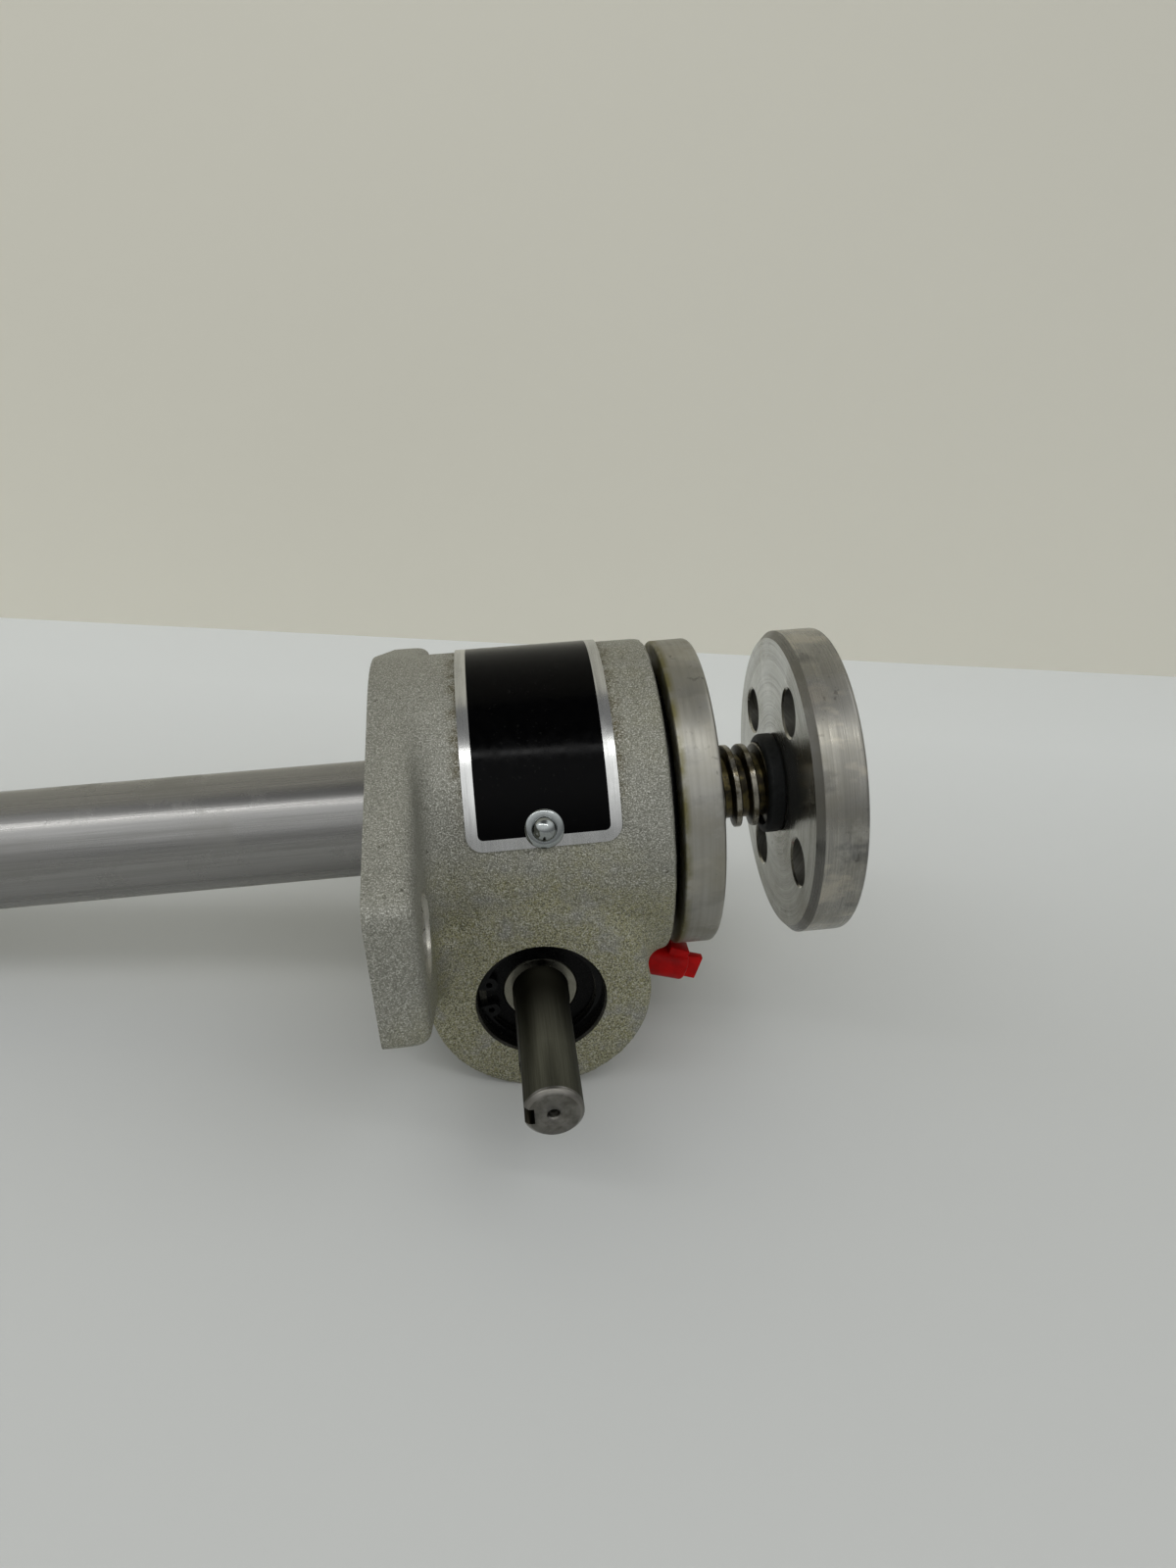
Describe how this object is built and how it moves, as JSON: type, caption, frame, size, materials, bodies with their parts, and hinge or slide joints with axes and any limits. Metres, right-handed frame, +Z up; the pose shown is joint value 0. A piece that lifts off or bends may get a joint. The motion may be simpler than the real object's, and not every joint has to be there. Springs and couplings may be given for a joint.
{
  "type": "worm screw jack",
  "caption": "Worm gear screw jack: flanged cast housing with crossed worm shaft, and a lifting screw with a bolted top plate.",
  "frame": {"origin": "centre of the base face, on the axis of the lifting screw, where the two base bolt holes are centred", "axes": "+X along the lifting screw towards the top plate, +Z up as the jack lies on its worm boss, worm shaft along Y"},
  "size_m": [0.2406, 0.1134, 0.0731],
  "materials": {
    "cast_aluminium": "grainy as-cast",
    "turned_aluminium": "satin turned",
    "drawn_tube": "drawn, satin",
    "shaft_steel": "ground",
    "thread_steel": "rolled, oily",
    "bearing_steel": "ground",
    "black_steel": "blackened",
    "zinc_steel": "zinc plated",
    "thrust_cage": "satin",
    "bronze": "machined",
    "black_rubber": "moulded",
    "grey_rubber": "moulded",
    "nameplate_black": "gloss",
    "black_plastic": "moulded",
    "red_plastic": "moulded"
  },
  "bodies": {
    "jack": {"housing": "cast_aluminium", "shell_cap": "turned_aluminium", "shell_cap_o_ring": "black_rubber", "shell_cap_set_screw": "black_steel", "guide_bushing": "bronze", "screw_seal": "black_rubber", "nameplate": "nameplate_black", "nameplate_drive_screws": "zinc_steel", "grease_fitting": "zinc_steel", "screw_tube": "drawn_tube", "tube_end_plug": "black_plastic", "front_retaining_ring": "black_steel", "rear_retaining_ring": "black_steel", "front_bearing_outer_ring": "bearing_steel", "front_bearing_balls": "bearing_steel", "front_bearing_seals": "black_rubber", "rear_bearing_outer_ring": "bearing_steel", "rear_bearing_balls": "bearing_steel", "rear_bearing_seals": "black_rubber", "lower_fixed_race": "bearing_steel", "lower_thrust_balls": "thrust_cage", "upper_fixed_race": "bearing_steel", "upper_thrust_balls": "thrust_cage"},
    "worm": {"worm_shaft": "shaft_steel", "front_bearing_inner_ring": "bearing_steel", "rear_bearing_inner_ring": "bearing_steel"},
    "wheel": {"worm_wheel": "bronze", "lower_turning_race": "bearing_steel", "upper_turning_race": "bearing_steel"},
    "screw": {"lifting_screw": "thread_steel", "top_plate": "turned_aluminium", "bumper_ring": "grey_rubber", "top_plate_pin": "black_steel", "screw_stop_ring": "thread_steel", "screw_stop_pin": "black_steel"},
    "dust_cap": {"grease_fitting_cap": "red_plastic"}
  },
  "joints": [
    {"name": "worm_turn", "type": "hinge", "parent": "jack", "child": "worm", "pos_m": [0.0247, 0, -0.02345], "axis": [0, 1, 0], "range_deg": [-6237.2, 80164.7]},
    {"name": "wheel_turn", "type": "hinge", "parent": "jack", "child": "wheel", "pos_m": [0.0247, 0, 0], "axis": [1, 0, 0], "range_deg": [-16033.7, 1248.2]},
    {"name": "screw_lift", "type": "slide", "parent": "jack", "child": "screw", "axis": [1, 0, 0], "range_m": [-0.011, 0.1414]},
    {"name": "dust_cap_pull", "type": "slide", "parent": "jack", "child": "dust_cap", "axis": [0.9397, 0, -0.342], "range_m": [0, 0.012]}
  ],
  "couplings": [
    {"joint": "worm_turn", "follows": "screw_lift", "rad_per_m": 9894.8},
    {"joint": "wheel_turn", "follows": "screw_lift", "rad_per_m": -1979}
  ]
}
